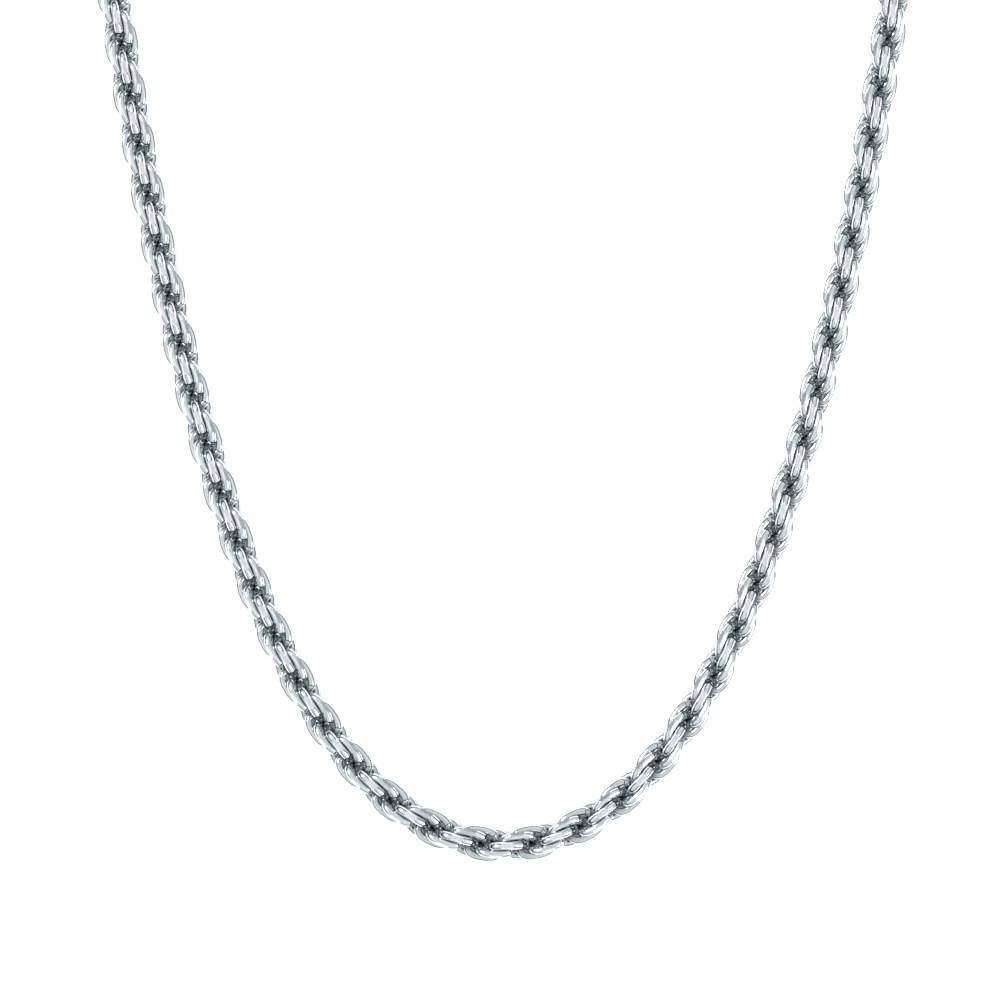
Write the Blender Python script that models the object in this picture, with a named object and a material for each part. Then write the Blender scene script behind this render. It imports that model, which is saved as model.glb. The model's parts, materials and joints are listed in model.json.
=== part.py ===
"""Rope-chain necklace with a lobster clasp, laid out open on a flat surface.

The rope is cut into short sections of ten interlocked links. Each section is one rigid
piece, hinged to the next, so the chain bends as the real one does. The front centre
section is the root, and an arm of sections runs up each side to an end cap. The left cap
carries a jump ring and the clasp, the right cap carries the ring that the clasp hooks.

Units are metres, +Z up. The origin lies on the surface under the chain's front centre,
+Y points to the clasp and +X to the wearer's left.
"""

import math

import bmesh
import bpy
from mathutils import Matrix, Vector

# ---- rope -------------------------------------------------------------------------
ROPE_R = 0.0032  # axis to the crest of a strand, before the flats are cut
VALLEY = 0.0011  # depth of the valley between the two strands
FLAT_CUT = 0.0002  # depth of the diamond-cut flats on the crests
TURN = 0.0175  # length in which the pair of strands makes one full turn
LINKS_PER_TURN = 18  # links of both strands in one turn
LINKS_PER_SECTION = 10  # links in one rigid section
SECTIONS_PER_ARM = 24  # sections each side of the front centre one
DRAPE_R = 0.026  # radius of the hanging curve at the front centre

# ---- hinges between sections ------------------------------------------------------
SWING = math.radians(20)  # most that two sections turn on each other, each way
HINGE_GAP = 0.00008  # hinge point to the tip of each section's cone

# ---- end caps ---------------------------------------------------------------------
CAP_WALL = 0.00045
CAP_GRIP = 0.0030  # how far the cup reaches over the rope
CAP_FLOOR = 0.0020  # solid end of the cup, dome included
CAP_FIT = 0.00012  # clearance of the rope's squeezed end in the cup
SQUEEZE = 0.0022  # length over which the rope narrows into the cup

# ---- eyes and rings ---------------------------------------------------------------
EYE_R = 0.00145  # middle radius of the cap's and the clasp's eyes
EYE_WIRE = 0.00042  # their wire's radius
EYE_SINK = 0.00022  # how deep an eye is soldered into its cap
RING_R = 0.0022  # middle radius of the jump ring and the catch ring
RING_WIRE = 0.0005  # their wire's radius
LINK_FIT = 0.0001  # clearance between a ring and the eye it hangs in

# ---- clasp ------------------------------------------------------------------------
CLASP_EYE_Z = 0.0024  # height of the clasp's eye above the surface
CLASP_T = 0.0030  # thickness of the clasp's body
NECK_L = 0.00045  # from the eye's wire to the body
BULB_L = 0.0027  # half length of the body
BULB_W = 0.0027  # half width of the body
CLAW_AHEAD = 0.0038  # middle of the body to the middle of the claw's curve
CLAW_L = 0.0054  # half length of the claw's curve
CLAW_W = 0.00275  # half width of the claw's curve
CLAW_FROM, CLAW_TO = math.radians(152), math.radians(-62)
CLAW_ROOT_W, CLAW_TIP_W = 0.00115, 0.00072  # half width of the claw's bar
CLAW_ROOT_T, CLAW_TIP_T = 0.00125, 0.00090  # half thickness of the claw's bar
PIVOT_AHEAD = 0.0006  # middle of the body to the lever's pin, along the clasp
PIVOT_EDGE = 0.0012  # lever's pin to the body's edge
PIN_R = 0.00040
PIN_FIT = 0.00006  # clearance of the pin in its holes
PIN_RECESS = 0.00006  # depth of the pin's ends below the body's skin
LEVER_T = 0.00100  # thickness of the lever
LEVER_FIT = 0.00015  # clearance each side of the lever in its slot
LEVER_ROOT_W, LEVER_TIP_W = 0.00072, 0.00046  # half width of the lever
LEVER_GAP = 0.00018  # lever tip to claw tip
TAB_L = 0.0019  # how far the thumb tab stands out
TAB_R = 0.00050

# ---- mesh fineness ----------------------------------------------------------------
SIDES = 10  # points around a section
STEPS = 8  # rings along a section
ROUND = 20  # points around a cap
RING_STEPS, WIRE_SIDES = 24, 8

FLAT_R = ROPE_R - FLAT_CUT  # axis to the flats, and the axis's height
CAP_R = FLAT_R  # the caps lie on the same surface as the flats
BULB_X = EYE_R + NECK_L + BULB_L  # middle of the body, from the eye's middle
CLAW_X = BULB_X + CLAW_AHEAD
PIVOT = (BULB_X + PIVOT_AHEAD, PIVOT_EDGE - BULB_W)
SLOT_T = LEVER_T + 2 * LEVER_FIT
SECTION = TURN * LINKS_PER_SECTION / LINKS_PER_TURN
HALF_ROPE = SECTION * (SECTIONS_PER_ARM + 0.5)


# ---- the hanging curve --------------------------------------------------------------
def station(s, out=1):
    """Frame at arc length s: origin on the rope's axis, X along the chain, Z up.
    With out = -1, X points down the chain instead, towards the other arm's end."""
    x = DRAPE_R * math.asinh(s / DRAPE_R)
    y = math.hypot(DRAPE_R, s) - DRAPE_R
    along = Vector((DRAPE_R, s, 0)).normalized() * out
    up = Vector((0, 0, 1))
    side = up.cross(along)
    frame = Matrix((along, side, up)).transposed().to_4x4()
    frame.translation = (x, y, FLAT_R)
    return frame


def strand_radius(angle):
    """Radius of the twisted pair at an angle from the line through both strands."""
    return ROPE_R - VALLEY * (1 - abs(math.cos(angle)))


def rope_ring(s, scale=1.0):
    """Points around the rope at arc length s. The twist is left handed, and a strand
    faces straight down at the front centre."""
    frame = station(s)
    turn = -math.pi / 2 - 2 * math.pi * s / TURN
    ring = []
    for i in range(SIDES):
        a = 2 * math.pi * i / SIDES
        r = strand_radius(a) * scale
        ring.append(frame @ Vector((0, r * math.cos(turn + a), r * math.sin(turn + a))))
    return ring


# ---- mesh helpers ---------------------------------------------------------------------
def loft(rings, closed=False, start=None, end=None):
    """A skin over rings of points. An open one is closed by a point or a flat face."""
    bm = bmesh.new()
    loops = [[bm.verts.new(p) for p in ring] for ring in rings]
    pairs = list(zip(loops, loops[1:] + ([loops[0]] if closed else [])))
    for a, b in pairs:
        for i in range(len(a)):
            j = (i + 1) % len(a)
            bm.faces.new((a[i], a[j], b[j], b[i]))
    if not closed:
        for loop, tip in ((loops[0], start), (loops[-1], end)):
            if tip is None:
                bm.faces.new(loop)
                continue
            v = bm.verts.new(tip)
            for i in range(len(loop)):
                bm.faces.new((loop[i], loop[(i + 1) % len(loop)], v))
    bmesh.ops.recalc_face_normals(bm, faces=bm.faces)
    return bm


def circle(centre, u, v, r_u, r_v, n):
    """n points on an ellipse about centre in the plane of u and v."""
    return [
        centre
        + u * (r_u * math.cos(2 * math.pi * i / n))
        + v * (r_v * math.sin(2 * math.pi * i / n))
        for i in range(n)
    ]


def torus(centre, u, v, radius, wire, steps=RING_STEPS, sides=WIRE_SIDES):
    """A closed ring of round wire in the plane of u and v."""
    w = u.cross(v)
    rings = []
    for i in range(steps):
        a = 2 * math.pi * i / steps
        out = u * math.cos(a) + v * math.sin(a)
        rings.append(circle(centre + out * radius, out, w, wire, wire, sides))
    return loft(rings, closed=True)


def turned(profile, n=ROUND):
    """A profile of (x, r) points turned about the X axis. Its first and last r are 0."""
    x, y, z = Vector((1, 0, 0)), Vector((0, 1, 0)), Vector((0, 0, 1))
    rings = [circle(x * px, y, z, pr, pr, n) for px, pr in profile[1:-1]]
    return loft(rings, start=x * profile[0][0], end=x * profile[-1][0])


def bar(points, widths, thicks, n=10):
    """A rounded bar along points in the XY plane, oval in section."""
    rings = []
    for i, p in enumerate(points):
        a, b = points[max(i - 1, 0)], points[min(i + 1, len(points) - 1)]
        side = Vector((0, 0, 1)).cross((b - a).normalized())
        rings.append(circle(p, side, Vector((0, 0, 1)), widths[i], thicks[i], n))
    return loft(rings)


def cylinder(centre, axis, r, length, n=16):
    """A round pin of that length, centred."""
    u = axis.orthogonal().normalized()
    v = axis.cross(u)
    ends = [centre - axis * length / 2, centre + axis * length / 2]
    return loft([circle(e, u, v, r, r, n) for e in ends])


def polished(name, colour, roughness):
    mat = bpy.data.materials.new(name)
    mat.use_nodes = True
    shader = mat.node_tree.nodes["Principled BSDF"]
    shader.inputs["Base Color"].default_value = (*colour, 1)
    shader.inputs["Metallic"].default_value = 1.0
    shader.inputs["Roughness"].default_value = roughness
    return mat


def add(name, bm, frame, material, parent=None, smooth=True):
    """An object at frame, from a mesh in frame's own coordinates."""
    bmesh.ops.dissolve_degenerate(bm, dist=1e-7, edges=bm.edges)
    mesh = bpy.data.meshes.new(name)
    bm.to_mesh(mesh)
    bm.free()
    if smooth:
        mesh.shade_smooth()
        mesh.set_sharp_from_angle(angle=math.radians(40))
    obj = bpy.data.objects.new(name, mesh)
    bpy.context.scene.collection.objects.link(obj)
    obj.data.materials.append(material)
    obj.matrix_world = frame
    if parent is not None:
        obj.parent = parent
        obj.matrix_parent_inverse = WORLD[parent.name].inverted()
    WORLD[name] = frame.copy()
    return obj


def combine(obj, bm, operation):
    """Joins a mesh to obj, or cuts it from obj, with an exact boolean."""
    mesh = bpy.data.meshes.new("tool")
    bm.to_mesh(mesh)
    bm.free()
    tool = bpy.data.objects.new("tool", mesh)
    bpy.context.scene.collection.objects.link(tool)
    tool.matrix_world = obj.matrix_world
    mod = obj.modifiers.new(operation.lower(), "BOOLEAN")
    mod.operation, mod.object, mod.solver = operation, tool, "EXACT"
    bpy.context.view_layer.update()
    made = bpy.data.meshes.new_from_object(
        obj.evaluated_get(bpy.context.evaluated_depsgraph_get())
    )
    obj.modifiers.clear()
    obj.data = made
    bpy.data.objects.remove(tool)
    return obj


# ---- rope sections ----------------------------------------------------------------------
def section_mesh(k):
    """Section k in world coordinates. Each hinged end is a blunt cone that leaves the
    next section room to swing, and a last section narrows into its cap instead."""
    low, high = (k - 0.5) * SECTION, (k + 0.5) * SECTION
    back = ROPE_R * math.tan(SWING / 2) + HINGE_GAP
    squeezed = (CAP_R - CAP_WALL - CAP_FIT) / ROPE_R
    last_low, last_high = k == -SECTIONS_PER_ARM, k == SECTIONS_PER_ARM
    first = low if last_low else low + back
    final = high if last_high else high - back
    rings = []
    for i in range(STEPS + 1):
        s = first + (final - first) * i / STEPS
        scale = 1.0
        if last_low or last_high:
            into = CAP_GRIP + SQUEEZE - (HALF_ROPE - abs(s))
            share = min(max(into / SQUEEZE, 0.0), 1.0)
            scale = 1 - (1 - squeezed) * share
        rings.append(rope_ring(s, scale))
    start = None if last_low else station(low + HINGE_GAP).translation
    end = None if last_high else station(high - HINGE_GAP).translation
    bm = loft(rings, start=start, end=end)
    for z, normal in ((0.0, -1), (2 * FLAT_R, 1)):
        cut = bmesh.ops.bisect_plane(
            bm,
            geom=bm.verts[:] + bm.edges[:] + bm.faces[:],
            dist=1e-6,
            plane_co=(0, 0, z),
            plane_no=(0, 0, normal),
            clear_outer=True,
        )
        rim = [e for e in cut["geom_cut"] if isinstance(e, bmesh.types.BMEdge)]
        if rim:
            bmesh.ops.holes_fill(bm, edges=[e for e in bm.edges if e.is_boundary])
    bmesh.ops.recalc_face_normals(bm, faces=bm.faces)
    return bm


def make_sections(material):
    """The root section, then both arms outwards, each hanging on the one before."""
    made = {}
    for k in sorted(range(-SECTIONS_PER_ARM, SECTIONS_PER_ARM + 1), key=abs):
        out = -1 if k < 0 else 1
        inner = 0.0 if k == 0 else out * (abs(k) - 0.5) * SECTION
        frame = station(inner, out)
        bm = section_mesh(k)
        bm.transform(frame.inverted())
        name = "rope_front" if k == 0 else f"rope_{'left' if k > 0 else 'right'}_{abs(k):02d}"
        parent = None if k == 0 else made[k - out]
        made[k] = add(name, bm, frame, material, parent)
    return made


# ---- end hardware ---------------------------------------------------------------------
def eye_x():
    """Middle of a cap's eye, from the rope's end."""
    return CAP_FLOOR + EYE_R + EYE_WIRE - EYE_SINK


def make_cap(name, out, parent, material):
    """A cup over the rope's end, with a dome and a soldered eye lying flat."""
    inner, shoulder = CAP_R - CAP_WALL, CAP_FLOOR * 0.4
    lip = CAP_WALL * 0.3
    profile = [
        (CAP_FIT, 0),
        (CAP_FIT, inner),
        (-CAP_GRIP, inner),
        (-CAP_GRIP - lip, inner + lip),
        (-CAP_GRIP - lip, CAP_R - lip),
        (-CAP_GRIP, CAP_R),
        (shoulder, CAP_R),
    ]
    for i in range(1, 5):
        a = math.radians(90 * i / 5)
        profile.append(
            (shoulder + (CAP_FLOOR - shoulder) * math.sin(a), CAP_R * math.cos(a) ** 0.8)
        )
    profile.append((CAP_FLOOR, 0))
    cap = add(name, turned(profile), station(out * HALF_ROPE, out), material, parent)
    x, y = Vector((1, 0, 0)), Vector((0, 1, 0))
    return combine(cap, torus(x * eye_x(), x, y, EYE_R, EYE_WIRE, 20), "UNION")


def ring_middle():
    """Middle of a ring that stands on the surface through a cap's eye and clears the eye's
    outer wire, from the middle of that wire."""
    up = RING_R + RING_WIRE - FLAT_R
    reach = RING_R - EYE_WIRE - RING_WIRE - LINK_FIT
    return Vector((math.sqrt(reach**2 - up**2), 0, up))


def make_ring(name, out, parent, material):
    """A ring standing on the surface through the cap's eye. Its origin is the middle of
    the eye's outer wire, which it swings up and down on."""
    pivot = eye_x() + EYE_R
    frame = station(out * HALF_ROPE, out) @ Matrix.Translation((pivot, 0, 0))
    x, z = Vector((1, 0, 0)), Vector((0, 0, 1))
    return add(name, torus(ring_middle(), x, z, RING_R, RING_WIRE), frame, material, parent)


def claw_points(count):
    """The middle line of the claw, from the body over the nose to the tip."""
    points = []
    for i in range(count):
        a = CLAW_FROM + (CLAW_TO - CLAW_FROM) * i / (count - 1)
        points.append(Vector((CLAW_X + CLAW_L * math.cos(a), CLAW_W * math.sin(a), 0)))
    return points


def ramp(a, b, count):
    return [a + (b - a) * i / (count - 1) for i in range(count)]


def clasp_frames(out):
    """The clasp's own frame at its eye's middle, and the swivel point in the ring's wire.
    The clasp slopes down from its eye to its nose, which rests on the surface."""
    base = station(out * HALF_ROPE, out)
    ring_x = eye_x() + EYE_R + ring_middle().x
    ring_z = RING_R + RING_WIRE
    across = math.sqrt(RING_R**2 - (CLASP_EYE_Z - ring_z) ** 2)
    swivel = Vector((ring_x + across, 0, CLASP_EYE_Z - FLAT_R))
    middle = swivel + Vector((EYE_R - EYE_WIRE - RING_WIRE - LINK_FIT, 0, 0))
    slope = math.asin((CLASP_EYE_Z - CLAW_TIP_T - 0.00008) / (CLAW_X + CLAW_L))
    tilt = Matrix.Rotation(slope, 4, "Y")
    return base @ Matrix.Translation(middle) @ tilt, base @ swivel


def make_clasp(out, parent, material):
    x, y, z = Vector((1, 0, 0)), Vector((0, 1, 0)), Vector((0, 0, 1))
    eye, swivel = clasp_frames(out)
    frame = eye.copy()
    frame.translation = swivel
    shift = frame.inverted() @ eye  # from the eye's frame to the swivel's

    # a rounded body, the eye and neck behind it, and the claw in front
    bulb = bmesh.new()
    bmesh.ops.create_uvsphere(bulb, u_segments=18, v_segments=10, radius=1.0)
    bulb.transform(Matrix.Diagonal((BULB_L, BULB_W, CLASP_T / 2, 1)))
    bulb.transform(shift @ Matrix.Translation(x * BULB_X))
    body = add("clasp_body", bulb, frame, material, parent)
    bpy.context.view_layer.update()
    tools = [torus(Vector(), x, y, EYE_R, EYE_WIRE, 20)]
    neck = [EYE_R, EYE_R + 0.0003, BULB_X - BULB_L + 0.0006]
    tools.append(
        loft([circle(x * a, y, z, r, r * 0.8, 10) for a, r in zip(neck, (0.0005, 0.0006, 0.0011))])
    )
    count = 14
    tools.append(
        bar(
            claw_points(count),
            ramp(CLAW_ROOT_W, CLAW_TIP_W, count),
            ramp(CLAW_ROOT_T, CLAW_TIP_T, count),
        )
    )
    for bm in tools:
        bm.transform(shift)
        combine(body, bm, "UNION")

    # the lever's slot is open to the clasp's side and into the claw's mouth
    px, py = PIVOT
    corner_a = Vector((px - LEVER_ROOT_W - 0.0005, -BULB_W - 0.001, -SLOT_T / 2))
    corner_b = Vector((BULB_X + BULB_L + 0.001, py + LEVER_ROOT_W + 0.0012, SLOT_T / 2))
    slot = bmesh.new()
    bmesh.ops.create_cube(slot, size=1.0)
    slot.transform(Matrix.Diagonal((*(corner_b - corner_a), 1)))
    slot.transform(shift @ Matrix.Translation((corner_a + corner_b) / 2))
    combine(body, slot, "DIFFERENCE")
    hole = cylinder(Vector((px, py, 0)), z, PIN_R + PIN_FIT, CLASP_T * 1.5)
    hole.transform(shift)
    combine(body, hole, "DIFFERENCE")

    # the pin, and the lever with its thumb tab, both with their origin on the pin's axis
    at_pin = eye @ Matrix.Translation((px, py, 0))
    here = 1 - (PIVOT_AHEAD / BULB_L) ** 2 - (py / BULB_W) ** 2
    pin_l = CLASP_T * math.sqrt(here) - 2 * PIN_RECESS
    add("clasp_pin", cylinder(Vector(), z, PIN_R, pin_l), at_pin, material, body)
    near, end = claw_points(60)[-2:]
    tip = end - Vector((px, py, 0))
    tip.x -= CLAW_TIP_W * abs((end - near).normalized().y) + LEVER_GAP
    bow = Vector((tip.x * 0.5, tip.y * 0.5 - 0.00075, 0))
    line = [Vector((-LEVER_ROOT_W * 0.9, 0, 0))]
    for i in range(7):
        t = i / 6
        line.append(Vector() * (1 - t) ** 2 + bow * (2 * t * (1 - t)) + tip * t * t)
    widths = [LEVER_ROOT_W * 0.45] + ramp(LEVER_ROOT_W, LEVER_TIP_W, 7)
    lever = add(
        "clasp_lever",
        bar(line, widths, [LEVER_T * 0.42] + [LEVER_T / 2] * 7),
        at_pin,
        material,
        body,
    )
    bpy.context.view_layer.update()
    foot = Vector((0.0012, -0.0004, 0))
    lean = Vector((-0.35, -1, 0)).normalized()
    tab = loft(
        [
            circle(foot + lean * d, Vector((1, -0.35, 0)).normalized(), z, r, r * 0.85, 10)
            for d, r in ((0, TAB_R), (TAB_L * 0.85, TAB_R), (TAB_L, TAB_R * 0.6))
        ]
    )
    combine(lever, tab, "UNION")
    combine(lever, cylinder(Vector(), z, PIN_R + PIN_FIT, LEVER_T * 2), "DIFFERENCE")
    return body


WORLD = {}
for old in list(bpy.data.objects):
    bpy.data.objects.remove(old)

silver = polished("polished_silver", (0.80, 0.81, 0.82), 0.12)
fitting = polished("fitting_silver", (0.82, 0.82, 0.83), 0.16)

rope = make_sections(silver)
bpy.context.view_layer.update()
cap_r = make_cap("cap_right", -1, rope[-SECTIONS_PER_ARM], fitting)
cap_l = make_cap("cap_left", 1, rope[SECTIONS_PER_ARM], fitting)
make_ring("catch_ring", -1, cap_r, fitting)
jump = make_ring("jump_ring", 1, cap_l, fitting)
make_clasp(1, jump, fitting)
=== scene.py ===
# %% [markdown]
# # A rope-chain necklace in polished silver
# A rope chain is made of small round wire links. Each link is threaded through the ones
# before it and turned a little further, so their outer bars line up in two strands that
# twist round each other. The crests are then cut flat with a diamond tool, which gives
# the row of bright facets that a rope chain is bought for.
# This lesson makes one link, sets it out along the hanging curve, and adds the end caps,
# the two rings and the lobster clasp.

import json
import math

import bmesh
import bpy
from mathutils import Matrix, Vector


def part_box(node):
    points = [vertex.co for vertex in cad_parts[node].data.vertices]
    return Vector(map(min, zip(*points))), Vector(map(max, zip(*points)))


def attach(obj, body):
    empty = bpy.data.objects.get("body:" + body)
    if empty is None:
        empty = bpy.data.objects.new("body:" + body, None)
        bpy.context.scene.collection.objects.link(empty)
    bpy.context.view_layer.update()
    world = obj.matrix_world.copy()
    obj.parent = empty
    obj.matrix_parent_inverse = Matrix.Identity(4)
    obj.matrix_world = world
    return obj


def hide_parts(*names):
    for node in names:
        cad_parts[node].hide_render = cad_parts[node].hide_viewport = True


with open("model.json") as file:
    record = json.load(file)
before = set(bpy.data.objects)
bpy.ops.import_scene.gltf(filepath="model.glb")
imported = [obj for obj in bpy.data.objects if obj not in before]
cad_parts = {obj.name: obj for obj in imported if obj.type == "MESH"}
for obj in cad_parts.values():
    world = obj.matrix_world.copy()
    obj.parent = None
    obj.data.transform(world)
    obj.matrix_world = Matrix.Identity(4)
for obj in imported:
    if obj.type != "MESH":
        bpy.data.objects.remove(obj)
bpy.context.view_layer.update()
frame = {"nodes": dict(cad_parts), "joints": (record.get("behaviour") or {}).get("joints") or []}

# %% [markdown]
# ## The hanging curve
# A chain held at both ends hangs in a catenary, the curve y = a cosh(x / a) - a. Measured
# by its own arc length s, that curve needs no solving: x = a asinh(s / a) and
# y = sqrt(a * a + s * s) - a. Every piece of the necklace is placed by its s.

# %% Sizes of the rope, in metres
DRAPE = 0.026  # radius of the curve at the front centre
TURN = 0.0175  # one full turn of the two strands
LINKS_PER_TURN = 18
LINKS_PER_SECTION = 10
SECTIONS_PER_ARM = 24
FLAT = 0.0030  # axis to the cut flats, and the axis's height above the table
CREST = 0.0032  # axis to the crest of a strand before it is cut
PITCH = TURN / LINKS_PER_TURN
SECTION = PITCH * LINKS_PER_SECTION
HALF_ROPE = SECTION * (SECTIONS_PER_ARM + 0.5)
UP = Vector((0, 0, 1))


def station(s, out=1):
    """The frame at arc length s: X along the chain, Y across it, Z up."""
    along = Vector((DRAPE, s, 0)).normalized() * out
    place = Matrix((along, UP.cross(along), UP)).transposed().to_4x4()
    place.translation = (DRAPE * math.asinh(s / DRAPE), math.hypot(DRAPE, s) - DRAPE, FLAT)
    return place


hinge = next(j for j in frame["joints"] if j["name"] == "rope_left_05_lift")
off = (station(4.5 * SECTION).translation - Vector(hinge["pos_m"])).length
print("hinge 5 is", round(off * 1e6, 2), "micrometres from its place on the curve")

# %% [markdown]
# ## Colours and nodes
# Colours are picked as sRGB hex values, as in a paint program, and turned to the linear
# values that a shader adds up. One small function adds a shader node with its settings
# and its links, so a material reads as a short list.


# %% Colour and node helpers
def paint(code):
    """A linear colour from an sRGB hex value."""
    parts = [int(code[i : i + 2], 16) / 255 for i in (1, 3, 5)]
    return (*[c / 12.92 if c <= 0.04045 else ((c + 0.055) / 1.055) ** 2.4 for c in parts], 1)


def add_node(tree, kind, settings=(), links=()):
    """A node of that kind, with its settings or socket values, and the links into it."""
    node = tree.nodes.new(kind)
    for name, value in dict(settings).items():
        if isinstance(name, int) or name in node.inputs:
            node.inputs[name].default_value = value
        else:
            setattr(node, name, value)
    for name, source in dict(links).items():
        tree.links.new(source, node.inputs[name])
    return node


def start_material(name):
    """A new material and its node tree, which starts empty."""
    material = bpy.data.materials.new(name)
    material.use_nodes = True
    material.node_tree.nodes.clear()
    return material, material.node_tree


def ramp_colours(node, stops):
    """Sets a colour ramp to (position, colour) stops."""
    bar = node.color_ramp
    while len(bar.elements) < len(stops):
        bar.elements.new(0.5)
    for element, (position, colour) in zip(bar.elements, stops):
        element.position, element.color = position, colour


def finish_metal(tree, sockets, links):
    """Ends a metal's tree with its Principled shader. A metal keeps the default IOR."""
    shader = add_node(tree, "ShaderNodeBsdfPrincipled", {"Metallic": 1.0, **sockets}, links)
    add_node(tree, "ShaderNodeOutputMaterial", (), {"Surface": shader.outputs[0]})


print("white paint:", [round(c, 2) for c in paint("#FFFFFF")])

# %% [markdown]
# ## Polished sterling silver
# Sterling silver is almost white. The links are tumbled with steel shot, which leaves a
# mirror with a faint ripple. The colour is darker the nearer a point is to the rope's axis,
# down to near black: that is painted shade in the creases and between the bars, where the
# wires shade each other, and partly the greyer metal that polish never reaches. An
# attribute says how far a point is from the rope's axis, so the painted shade follows the
# shape into its creases. The ripple is 0.5 mm across. The hairline scratches of wear are
# really 0.01 mm wide, and are drawn 0.06 mm wide so that they show.


# %% The links' metal
def links_silver():
    metal, tree = start_material("tumbled_silver_and_painted_shade")
    spot = add_node(tree, "ShaderNodeTexCoord").outputs["Object"]
    painted_shade_depth = add_node(tree, "ShaderNodeAttribute", {"attribute_name": "painted_shade_depth"})
    # Painted shade: this ramp makes the wire near black close to the rope's axis and bright on
    # the crests.
    tone = add_node(tree, "ShaderNodeValToRGB", (), {0: painted_shade_depth.outputs["Fac"]})
    ramp_colours(
        tone,
        [
            (0.24, paint("#34393B")),
            (0.40, paint("#8F9698")),
            (0.58, paint("#C9CFD1")),
            (0.84, paint("#DDE2E4")),
        ],
    )
    ripple = add_node(
        tree, "ShaderNodeTexNoise", {"Scale": 2000.0, "Detail": 2.0}, {"Vector": spot}
    )
    stretch = add_node(tree, "ShaderNodeMapping", {"Scale": (1.0, 7.0, 3.0)}, {0: spot})
    hairs = add_node(
        tree,
        "ShaderNodeTexNoise",
        {"Scale": 2500.0, "Detail": 3.0},
        {"Vector": stretch.outputs[0]},
    )
    gloss = add_node(
        tree,
        "ShaderNodeMapRange",
        {"From Min": 0.35, "From Max": 0.7, "To Min": 0.04, "To Max": 0.11},
        {"Value": hairs.outputs["Fac"]},
    )
    wave = add_node(
        tree,
        "ShaderNodeBump",
        {"Strength": 0.12, "Distance": 0.00002},
        {"Height": ripple.outputs["Fac"]},
    )
    finish_metal(
        tree,
        {},
        {
            "Base Color": tone.outputs[0],
            "Roughness": gloss.outputs[0],
            "Normal": wave.outputs[0],
        },
    )
    return metal


rope_silver = links_silver()
print("made", rope_silver.name)

# %% [markdown]
# ## Diamond-cut facets
# The cutter leaves flats that are brighter than the tumbled wire, with very fine
# parallel tool lines. They are about 0.02 mm apart on the real chain, and are drawn
# about 0.3 mm apart here.


# %% The facets' metal
def facet_silver():
    metal, tree = start_material("diamond_cut_silver")
    spot = add_node(tree, "ShaderNodeTexCoord").outputs["Object"]
    lines = add_node(
        tree,
        "ShaderNodeTexWave",
        {"bands_direction": "DIAGONAL", "Scale": 1300.0, "Distortion": 1.5, "Detail": 1.0},
        {"Vector": spot},
    )
    cloud = add_node(
        tree, "ShaderNodeTexNoise", {"Scale": 900.0, "Detail": 2.0}, {"Vector": spot}
    )
    tone = add_node(tree, "ShaderNodeValToRGB", (), {0: cloud.outputs["Fac"]})
    ramp_colours(tone, [(0.35, paint("#E4EAED")), (0.65, paint("#F8FAFB"))])
    gloss = add_node(
        tree,
        "ShaderNodeMapRange",
        {"To Min": 0.10, "To Max": 0.17},
        {"Value": lines.outputs["Fac"]},
    )
    cut = add_node(
        tree,
        "ShaderNodeBump",
        {"Strength": 0.12, "Distance": 0.00001},
        {"Height": lines.outputs["Fac"]},
    )
    finish_metal(
        tree,
        {},
        {
            "Base Color": tone.outputs[0],
            "Roughness": gloss.outputs[0],
            "Normal": cut.outputs[0],
        },
    )
    return metal


facet_metal = facet_silver()
print("made", facet_metal.name)

# %% [markdown]
# ## Cast and turned fittings
# The caps, rings and clasp are buffed on a wheel. Buffing leaves a soft haze, about
# 0.3 mm across, and rounds every edge.


# %% The fittings' metal
def buffed_silver():
    metal, tree = start_material("buffed_cast_silver")
    spot = add_node(tree, "ShaderNodeTexCoord").outputs["Object"]
    haze = add_node(
        tree, "ShaderNodeTexNoise", {"Scale": 3300.0, "Detail": 3.0}, {"Vector": spot}
    )
    cloud = add_node(
        tree, "ShaderNodeTexNoise", {"Scale": 500.0, "Detail": 1.0}, {"Vector": spot}
    )
    tone = add_node(tree, "ShaderNodeValToRGB", (), {0: cloud.outputs["Fac"]})
    ramp_colours(tone, [(0.35, paint("#C2C6C8")), (0.65, paint("#D6DADC"))])
    gloss = add_node(
        tree,
        "ShaderNodeMapRange",
        {"From Min": 0.3, "From Max": 0.7, "To Min": 0.10, "To Max": 0.24},
        {"Value": haze.outputs["Fac"]},
    )
    wave = add_node(
        tree,
        "ShaderNodeBump",
        {"Strength": 0.15, "Distance": 0.00002},
        {"Height": haze.outputs["Fac"]},
    )
    finish_metal(
        tree,
        {},
        {
            "Base Color": tone.outputs[0],
            "Roughness": gloss.outputs[0],
            "Normal": wave.outputs[0],
        },
    )
    return metal


fitting_silver = buffed_silver()
print("made", fitting_silver.name)

# %% [markdown]
# ## One wire link
# The real link is a piece of wire bent round until its ends nearly meet, with a sawn gap.
# A circle for the wire's section, spun almost all the way round, is the same shape: the
# gap is what the spin leaves open. The wire's middle line is then moved from the circle to
# a squarish oval, which makes the long, nearly straight bar that shows on the outside of
# the rope, and each point of the wire keeps its distance from that line. The wire has
# eight sides, because hundreds of links share this shape and smooth shading hides the rest.

# %% Make the link
WIRE_W, WIRE_H = 0.00148, 0.00150  # the wire's width and thickness
LINK_L, LINK_R = 0.00284, 0.00178  # half length and half height of the wire's middle line
LINK_OUT = 0.00061  # how far a link's middle stands off the rope's axis, on its own strand
SQUARE = 2.7  # 2 is an oval, more is squarer
SIDES, STEPS = 8, 18  # faces round the wire and along the link
GAP = 0.00016  # the sawn gap
GAP_AT = math.radians(52)  # from the middle of the outer bar to the gap, round the link
LINK_LEAN = math.radians(2)  # turn of the outer bar away from the rope's direction


def signed_power(value, power):
    return math.copysign(abs(value) ** power, value)


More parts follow.
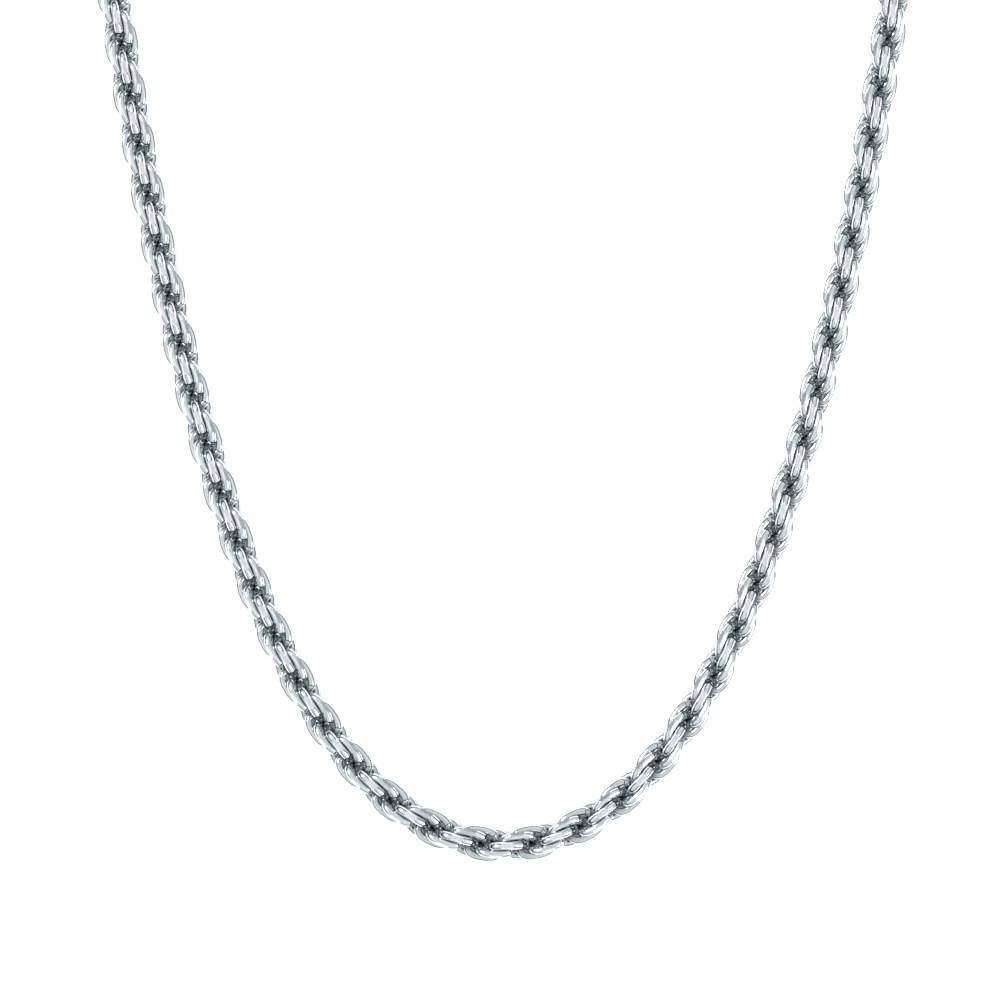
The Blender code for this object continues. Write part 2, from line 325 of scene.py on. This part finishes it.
def wire_link():
    """One link in its own frame: X along the rope, Z out through its outer bar."""
    bm = bmesh.new()
    bmesh.ops.create_circle(bm, segments=SIDES, radius=1.0)
    bmesh.ops.rotate(bm, verts=bm.verts, matrix=Matrix.Rotation(math.pi / SIDES, 3, "Z"))
    bmesh.ops.scale(bm, vec=(WIRE_H / 2, WIRE_W / 2, 1), verts=bm.verts)
    bmesh.ops.translate(bm, vec=(LINK_R, 0, 0), verts=bm.verts)
    first = Matrix.Rotation(-(math.pi / 2 - GAP_AT) + GAP / LINK_R / 2, 3, "Y")
    bmesh.ops.rotate(bm, verts=bm.verts, cent=(0, 0, 0), matrix=first)
    bmesh.ops.spin(
        bm,
        geom=bm.verts[:] + bm.edges[:],
        axis=(0, 1, 0),
        cent=(0, 0, 0),
        angle=2 * math.pi - GAP / LINK_R,
        steps=STEPS,
    )
    bmesh.ops.holes_fill(bm, edges=[e for e in bm.edges if e.is_boundary])
    for v in bm.verts:
        turn = math.atan2(v.co.z, v.co.x)
        off = math.hypot(v.co.x, v.co.z) - LINK_R
        x, z = signed_power(math.cos(turn), 2 / SQUARE), signed_power(math.sin(turn), 2 / SQUARE)
        side = (signed_power(x, SQUARE - 1) / LINK_L, signed_power(z, SQUARE - 1) / LINK_R)
        v.co.x = x * LINK_L + off * side[0] / math.hypot(*side)
        v.co.z = z * LINK_R + off * side[1] / math.hypot(*side)
    bmesh.ops.recalc_face_normals(bm, faces=bm.faces)
    for face in bm.faces:
        face.smooth = len(face.verts) == 4
    return bm


def as_mesh(bm, name):
    mesh = bpy.data.meshes.new(name)
    bm.to_mesh(mesh)
    bm.free()
    return mesh


link_mesh = as_mesh(wire_link(), "wire_link")
print("one link:", len(link_mesh.polygons), "faces,", "wire", WIRE_H * 1000, "mm thick")

# %% [markdown]
# ## Setting a link in the rope
# Odd links belong to one strand and even links to the other. A link stands a little off
# the rope's axis, so its outer bar is a crest of its own strand and its inner bar fills
# the space between two bars of the other. Then eight planes round the axis cut the
# crests: bisect_plane takes off what is outside a plane, and filling the cut makes the
# facet.

# %% Place and cut a link
FACETS = 8


def fill_cut(bm, cut, material):
    """Closes a cut with flat, sharp-edged faces of that material."""
    rim = [e for e in cut["geom_cut"] if isinstance(e, bmesh.types.BMEdge)]
    if not rim:
        return
    made = bmesh.ops.edgenet_fill(bm, edges=rim)["faces"]
    for edge in rim:
        edge.smooth = False
    for face in made:
        face.smooth, face.material_index = False, material


def link_place(number):
    """Arc length at the middle of the link of that number."""
    return (number - (LINKS_PER_SECTION - 1) / 2) * PITCH


def placed_link(number, squeeze=1.0):
    """The link of that number, set in the rope and cut."""
    s = link_place(number)
    round_axis = -math.pi - 2 * math.pi * (s - PITCH / 2) / TURN + math.pi * (number % 2)
    bm = bmesh.new()
    bm.from_mesh(link_mesh)
    own = (
        Matrix.Scale(squeeze, 4)
        @ Matrix.Translation((0, 0, LINK_OUT))
        @ Matrix.Rotation(LINK_LEAN, 4, "Z")
    )
    bm.transform(Matrix.Rotation(round_axis, 4, "X") @ own)
    for i in range(FACETS):
        a = 2 * math.pi * i / FACETS
        out = Vector((0, math.sin(a), math.cos(a)))
        geom = bm.verts[:] + bm.edges[:] + bm.faces[:]
        cut = bmesh.ops.bisect_plane(
            bm, geom=geom, dist=1e-7, plane_co=out * FLAT, plane_no=out, clear_outer=True
        )
        fill_cut(bm, cut, 1)
    bmesh.ops.recalc_face_normals(bm, faces=bm.faces)
    # Distance from the rope's axis, which the links' metal turns into painted shade in the
    # creases.
    painted_shade_depth = bm.verts.layers.float.new("painted_shade_depth")
    for v in bm.verts:
        v[painted_shade_depth] = math.hypot(v.co.y, v.co.z) / CREST
    bm.transform(station(s))
    return bm


test = placed_link(0)
print("a cut link:", len(test.faces), "faces,", sum(f.material_index for f in test.faces), "flat")
test.free()

# %% [markdown]
# ## The rope in sections
# Ten links ride together as one section of the hinged frame, and each section stands for
# the plain solid that the motion uses. Links of neighbouring sections stay threaded
# through each other at the hinge. Near each cap the links are squeezed, as a jeweller
# draws the end of the rope in to fit the cup, and the last ones end where they are
# soldered to its floor.

# %% Squeeze and sections
CUP_GRIP, CUP_WALL, CUP_FIT = 0.0030, 0.00045, 0.00012  # reach over the rope, wall, clearance
DRAWN_IN = 0.0022  # length over which the rope narrows into the cup


def squeeze_at(s):
    """The scale of a link at s, which is drawn in to fit the end cap."""
    into = (CUP_GRIP + DRAWN_IN - (HALF_ROPE - abs(s))) / DRAWN_IN
    narrow = (FLAT - CUP_WALL - CUP_FIT) / CREST
    return 1 - (1 - narrow) * min(max(into, 0.0), 1.0)


def rope_section(k):
    """Ten links as one mesh in place, with the rope's end cut square in an end section."""
    bm = bmesh.new()
    for j in range(LINKS_PER_SECTION):
        number = k * LINKS_PER_SECTION + j
        part = as_mesh(placed_link(number, squeeze_at(link_place(number))), "link")
        bm.from_mesh(part)
        bpy.data.meshes.remove(part)
    if abs(k) == SECTIONS_PER_ARM:
        end = station(math.copysign(HALF_ROPE, k), math.copysign(1, k))
        cut = bmesh.ops.bisect_plane(
            bm,
            geom=bm.verts[:] + bm.edges[:] + bm.faces[:],
            dist=1e-7,
            plane_co=end.translation,
            plane_no=end.col[0].xyz,
            clear_outer=True,
        )
        fill_cut(bm, cut, 0)
        bmesh.ops.recalc_face_normals(bm, faces=bm.faces)
    return bm


def as_object(bm, name, *materials):
    """An object at the origin, with its place in its mesh."""
    obj = bpy.data.objects.new(name, as_mesh(bm, name))
    bpy.context.scene.collection.objects.link(obj)
    for metal in materials:
        obj.data.materials.append(metal)
    return obj


# %% Lay the rope
faces = 0
for k in range(-SECTIONS_PER_ARM, SECTIONS_PER_ARM + 1):
    node = "rope_front" if k == 0 else f"rope_{'left' if k > 0 else 'right'}_{abs(k):02d}"
    piece = as_object(rope_section(k), "links_" + node[5:], rope_silver, facet_metal)
    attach(piece, node)
    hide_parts(node)
    faces += len(piece.data.polygons)
print("rope:", 2 * SECTIONS_PER_ARM + 1, "sections,", faces, "faces")

# %% [markdown]
# ## End caps
# A cap is a little turned cup. Its profile is drawn once, as the outline of half a cut
# through it, and spun round the rope's axis: an inner wall, a rolled lip, two beads and a
# domed end. A wire eye is soldered on the dome.

# %% Make the caps
EYE_R, EYE_WIRE = 0.00145, 0.00042  # the eye's middle radius and its wire's radius
EYE_SINK = 0.00022  # how deep the eye is soldered in
CAP_FLOOR = 0.0020  # the cup's solid end, dome included
EYE_X = CAP_FLOOR + EYE_R + EYE_WIRE - EYE_SINK
SOLDER = (0.00034, 0.0009, 0.0006)  # half sizes of the mound of solder under the eye
SOLDER_UP = 0.00002  # how far the mound's middle stands off the dome
EDGE = 0.0001  # rounding of the cup's inner edges
LIP = [(-0.00013, 0.00025), (-0.00005, 0.00041), (0.0001, 0.00045)]  # from the mouth and the wall
PLAIN = (0.0006, 0.0020, 0.0036)  # from the mouth: the lip's end, the plain band's ends
GROOVES = (0.0007, 0.0011, 0.0015)  # from the mouth to each groove beside and between the beads
GROOVE = [(0.0, 0.00016), (0.0001, 0.00018), (0.0002, 0.00002)]  # along and into the metal
DOME = 0.0012  # length of the domed end
DOME_POINTS = 9  # steps along the dome's outline
DOME_FULL = 0.8  # 1 is a round dome, less is a fuller one


def wire_ring(radius, wire, steps, sides, gap=0.0):
    """A ring of round wire in the XY plane, with a sawn gap at +X if asked for."""
    bm = bmesh.new()
    bmesh.ops.create_circle(bm, segments=sides, radius=wire)
    bmesh.ops.rotate(bm, verts=bm.verts, matrix=Matrix.Rotation(math.pi / 2, 3, "X"))
    bmesh.ops.translate(bm, vec=(radius, 0, 0), verts=bm.verts)
    turn = Matrix.Rotation(gap / radius / 2, 3, "Z")
    bmesh.ops.rotate(bm, verts=bm.verts, cent=(0, 0, 0), matrix=turn)
    bmesh.ops.spin(
        bm,
        geom=bm.verts[:] + bm.edges[:],
        axis=(0, 0, 1),
        cent=(0, 0, 0),
        angle=2 * math.pi - gap / radius,
        steps=steps,
        use_merge=gap == 0,
    )
    bmesh.ops.holes_fill(bm, edges=[e for e in bm.edges if e.is_boundary])
    bmesh.ops.recalc_face_normals(bm, faces=bm.faces)
    for face in bm.faces:
        face.smooth = len(face.verts) == 4
    return bm


def turned_cap():
    """The cap in its own frame: X outwards from the rope's end, which is at X = 0."""
    wall, mouth = FLAT - CUP_WALL, -CUP_GRIP
    outline = [(CUP_FIT, 0.0), (CUP_FIT, wall - EDGE), (CUP_FIT - EDGE, wall)]
    outline += [(mouth, wall), (mouth - EDGE, wall + EDGE)]
    outline += [(mouth + x, wall + r) for x, r in LIP]
    outline.append((mouth + PLAIN[0], FLAT))
    for start in GROOVES:
        outline += [(mouth + start + x, FLAT - deep) for x, deep in GROOVE]
    outline += [(mouth + x, FLAT) for x in PLAIN[1:]]
    for i in range(1, DOME_POINTS):
        a = math.pi / 2 * i / DOME_POINTS
        x = CAP_FLOOR - DOME + DOME * math.sin(a)
        outline.append((x, FLAT * math.cos(a) ** DOME_FULL))
    outline.append((CAP_FLOOR, 0.0))
    bm = bmesh.new()
    chain = [bm.verts.new((x, 0, r)) for x, r in outline]
    edges = [bm.edges.new(pair) for pair in zip(chain, chain[1:])]
    bmesh.ops.spin(
        bm,
        geom=chain + edges,
        axis=(1, 0, 0),
        cent=(0, 0, 0),
        angle=2 * math.pi,
        steps=48,
        use_merge=True,
    )
    bmesh.ops.remove_doubles(bm, verts=bm.verts, dist=1e-6)
    bmesh.ops.recalc_face_normals(bm, faces=bm.faces)
    for face in bm.faces:
        face.smooth = True
    eye = wire_ring(EYE_R, EYE_WIRE, steps=32, sides=12)
    bmesh.ops.translate(eye, vec=(EYE_X, 0, 0), verts=eye.verts)
    solder = bmesh.ops.create_uvsphere(eye, u_segments=16, v_segments=8, radius=1.0)["verts"]
    bmesh.ops.scale(eye, vec=SOLDER, verts=solder)
    bmesh.ops.translate(eye, vec=(CAP_FLOOR + SOLDER_UP, 0, 0), verts=solder)
    for face in eye.faces:
        face.smooth = True
    part = as_mesh(eye, "eye")
    bm.from_mesh(part)
    bpy.data.meshes.remove(part)
    return bm


def sharpen(obj, degrees):
    """Marks the edges sharper than that, so that flats and lips keep their line."""
    obj.data.set_sharp_from_angle(angle=math.radians(degrees))


LAST = f"{SECTIONS_PER_ARM:02d}"
for side, out in (("left", 1), ("right", -1)):
    bm = turned_cap()
    bm.transform(station(out * HALF_ROPE, out))
    cap = as_object(bm, f"turned_cap_{side}", fitting_silver)
    sharpen(cap, 50)
    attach(cap, f"rope_{side}_{LAST}")
    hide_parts(f"cap_{side}")
print("cap:", len(cap.data.polygons), "faces")

# %% [markdown]
# ## Jump ring and catch ring
# The jump ring is bent wire with a closed sawn seam, so that the clasp can be put on.
# The catch ring on the other arm is soldered shut. Both stand on the table, threaded
# through the eyes of their caps.

# %% Make the rings
RING_R, RING_WIRE = 0.0022, 0.0005  # a ring's middle radius and its wire's radius
RING_FIT = 0.0001  # clearance between a ring and the eye it hangs in
SEAM_AT = math.radians(-70)  # turns the sawn seam up and out of the eye
ring_up = RING_R + RING_WIRE - FLAT
ring_in = RING_R - EYE_WIRE - RING_WIRE - RING_FIT
ring_x = EYE_X + EYE_R + math.sqrt(ring_in**2 - ring_up**2)

for name, side, out, seam in (
    ("jump_ring", "left", 1, 0.00005),
    ("catch_ring", "right", -1, 0.0),
):
    bm = wire_ring(RING_R, RING_WIRE, steps=48, sides=16, gap=seam)
    bmesh.ops.rotate(bm, verts=bm.verts, matrix=Matrix.Rotation(math.pi / 2, 3, "X"))
    bmesh.ops.rotate(bm, verts=bm.verts, matrix=Matrix.Rotation(SEAM_AT, 3, "Y"))
    bmesh.ops.translate(bm, vec=(ring_x, 0, ring_up), verts=bm.verts)
    bm.transform(station(out * HALF_ROPE, out))
    ring = as_object(bm, f"bent_{name}", fitting_silver)
    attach(ring, name)
    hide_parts(name)
    lo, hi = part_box(name)
    print(name, "stands", round((hi.z - lo.z) * 1000, 1), "mm high")

# %% [markdown]
# ## Lobster clasp
# The clasp is cast in one with its eye and claw, so its parts run into each other with
# soft fillets. A copy of the frame's solid has the right sizes but hard joins. Remeshing
# it to small even squares and relaxing them with smooth_vert gives the cast look. The
# lever gets the same finish, with a smaller square because it is thin.


# %% Cast pieces from the frame's solids
def cast_copy(node, square, passes):
    """A remeshed and relaxed copy of a node's solid, in place."""
    source = frame["nodes"][node]
    bm = bmesh.new()
    bm.from_mesh(source.data)
    bm.transform(source.matrix_world)
    bmesh.ops.remove_doubles(bm, verts=bm.verts, dist=2e-7)
    obj = as_object(bm, "cast_" + node, fitting_silver)
    even = obj.modifiers.new("even squares", "REMESH")
    even.mode, even.voxel_size, even.use_smooth_shade = "VOXEL", square, True
    shaped = obj.evaluated_get(bpy.context.evaluated_depsgraph_get())
    bm = bmesh.new()
    bm.from_mesh(bpy.data.meshes.new_from_object(shaped))
    obj.modifiers.clear()
    for _ in range(passes):
        bmesh.ops.smooth_vert(
            bm, verts=bm.verts, factor=0.5, use_axis_x=True, use_axis_y=True, use_axis_z=True
        )
    for face in bm.faces:
        face.smooth, face.material_index = True, 0
    bm.to_mesh(obj.data)
    bm.free()
    return obj


for node, square, passes in (("clasp_body", 0.00008, 12), ("clasp_lever", 0.00006, 5)):
    cast = cast_copy(node, square, passes)
    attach(cast, node)
    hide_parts(node)
    print(node, len(cast.data.polygons), "faces")

# %% [markdown]
# ## Lever pin
# The pin is a plain rivet with slightly rounded ends, flush with the clasp's skin. The
# node's own solid gives its place and length.

# %% Make the pin
PIN_ROUND = 0.00008  # rounding of the pin's ends
lo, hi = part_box("clasp_pin")
source = frame["nodes"]["clasp_pin"]
bm = bmesh.new()
bm.from_mesh(source.data)
bm.transform(source.matrix_world)
bmesh.ops.remove_doubles(bm, verts=bm.verts, dist=2e-7)
bmesh.ops.dissolve_limit(bm, angle_limit=math.radians(2), verts=bm.verts, edges=bm.edges)
rims = [e for e in bm.edges if max(len(f.verts) for f in e.link_faces) > 4]
bmesh.ops.bevel(
    bm,
    geom=rims,
    offset=PIN_ROUND,
    offset_type="OFFSET",
    segments=2,
    profile=0.5,
    affect="EDGES",
    material=-1,
)
for face in bm.faces:
    face.smooth = len(face.verts) == 4
pin = as_object(bm, "rivet_clasp_pin", fitting_silver)
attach(pin, "clasp_body")
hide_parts("clasp_pin")
print("pin:", len(pin.data.polygons), "faces,", round((hi.z - lo.z) * 1000, 2), "mm tall")

# %% [markdown]
# ## Table, light and air
# Polished metal shows its surroundings, so the light is made of large pale shapes with
# dark gaps between them. The sky is white overhead, for the flats, and has a near-black
# band low down, which draws the dark lines between the bars. Below the band it is grey.
# What the camera sees past the table is as white as the table, so its edges don't show
# in a low view.

# %% The table
TABLE_HALF = 0.75  # half the table's side: as far as the overhead lamp keeps it white
TABLE_MIDDLE = (0, 0.06, -0.00003)  # under the necklace, a hair below it
bm = bmesh.new()
bmesh.ops.create_grid(bm, x_segments=1, y_segments=1, size=TABLE_HALF)
bmesh.ops.translate(bm, vec=TABLE_MIDDLE, verts=bm.verts)
matte, tree = start_material("white_table_paper")
spot = add_node(tree, "ShaderNodeTexCoord").outputs["Object"]
fibre = add_node(tree, "ShaderNodeTexNoise", {"Scale": 900.0, "Detail": 2.0}, {"Vector": spot})
tooth = add_node(
    tree, "ShaderNodeBump", {"Strength": 0.02, "Distance": 0.0001}, {"Height": fibre.outputs[0]}
)
shader = add_node(
    tree,
    "ShaderNodeBsdfPrincipled",
    {"Base Color": paint("#F7F7F8"), "Roughness": 0.9},
    {"Normal": tooth.outputs[0]},
)
add_node(tree, "ShaderNodeOutputMaterial", (), {"Surface": shader.outputs[0]})
table = as_object(bm, "table", matte)

# %% The sky
world = bpy.data.worlds.new("studio_sky")
bpy.context.scene.world = world
world.use_nodes = True
tree = world.node_tree
tree.nodes.clear()
way = add_node(tree, "ShaderNodeTexCoord").outputs["Generated"]
split = add_node(tree, "ShaderNodeSeparateXYZ", (), {0: way})
height = add_node(tree, "ShaderNodeValToRGB", (), {0: split.outputs["Z"]})
ramp_colours(
    height,
    [
        (0.0, paint("#AEB4B8")),
        (0.10, paint("#8F959A")),
        (0.18, paint("#1B1D1F")),
        (0.32, paint("#2A2D30")),
        (0.42, paint("#C9CED2")),
        (0.60, paint("#F3F5F7")),
        (0.90, paint("#FFFFFF")),
    ],
)
panels = add_node(
    tree, "ShaderNodeTexNoise", {"Scale": 1.4, "Detail": 1.0}, {"Vector": way}
)
uneven = add_node(
    tree,
    "ShaderNodeMapRange",
    {"From Min": 0.38, "From Max": 0.6, "To Min": 0.8, "To Max": 1.2},
    {"Value": panels.outputs["Fac"]},
)
lit = add_node(
    tree,
    "ShaderNodeBackground",
    (),
    {"Color": height.outputs[0], "Strength": uneven.outputs[0]},
)
plain = add_node(tree, "ShaderNodeBackground", {"Color": paint("#FFFFFF"), "Strength": 1.0})
path = add_node(tree, "ShaderNodeLightPath")
both = add_node(
    tree,
    "ShaderNodeMixShader",
    (),
    {0: path.outputs["Is Camera Ray"], 1: lit.outputs[0], 2: plain.outputs[0]},
)
add_node(tree, "ShaderNodeOutputWorld", (), {"Surface": both.outputs[0]})


# %% The lamps
def soft_panel(name, place, size, watts, colour="#FFFFFF"):
    """A large soft lamp that looks at the middle of the necklace."""
    lamp = bpy.data.lights.new(name, "AREA")
    lamp.shape, lamp.size, lamp.energy = "DISK", size, watts
    lamp.color = paint(colour)[:3]
    obj = bpy.data.objects.new(name, lamp)
    bpy.context.scene.collection.objects.link(obj)
    obj.location = place
    aim = Vector((0, 0.08, 0)) - Vector(place)
    obj.rotation_euler = aim.to_track_quat("-Z", "Y").to_euler()
    obj.visible_camera = False
    return obj


soft_panel("key_left", (-0.7, 0.5, 0.9), 0.5, 4.0)
soft_panel("fill_right", (0.8, -0.3, 0.8), 0.5, 3.0, "#F3F6FF")
overhead = soft_panel("table_wash", (0.0, 0.07, 1.5), 0.9, 16.0)
overhead.visible_glossy = False

# %% [markdown]
# ## Camera
# The camera looks straight down on the table through a long lens, so that nothing leans
# outwards. Both arms run off the top of its view.

# %% Place the camera
SEEN = 0.16985  # width, at the height of the rope's axis, that fills the view
HIGH = 0.90  # the lens above the rope's axis
SENSOR = 36.0  # the camera's sensor width, in millimetres
OVER = (-0.00158, 0.06004)  # the point that the camera is straight above
lens = bpy.data.cameras.new("camera")
lens.sensor_width = SENSOR
lens.lens = SENSOR * HIGH / SEEN
lens.clip_start, lens.clip_end = 0.01, 50.0
camera = bpy.data.objects.new("camera", lens)
bpy.context.scene.collection.objects.link(camera)
camera.location = (*OVER, HIGH + FLAT)
bpy.context.scene.camera = camera
bpy.context.scene.view_settings.view_transform = "Standard"
print("lens:", round(lens.lens), "mm")
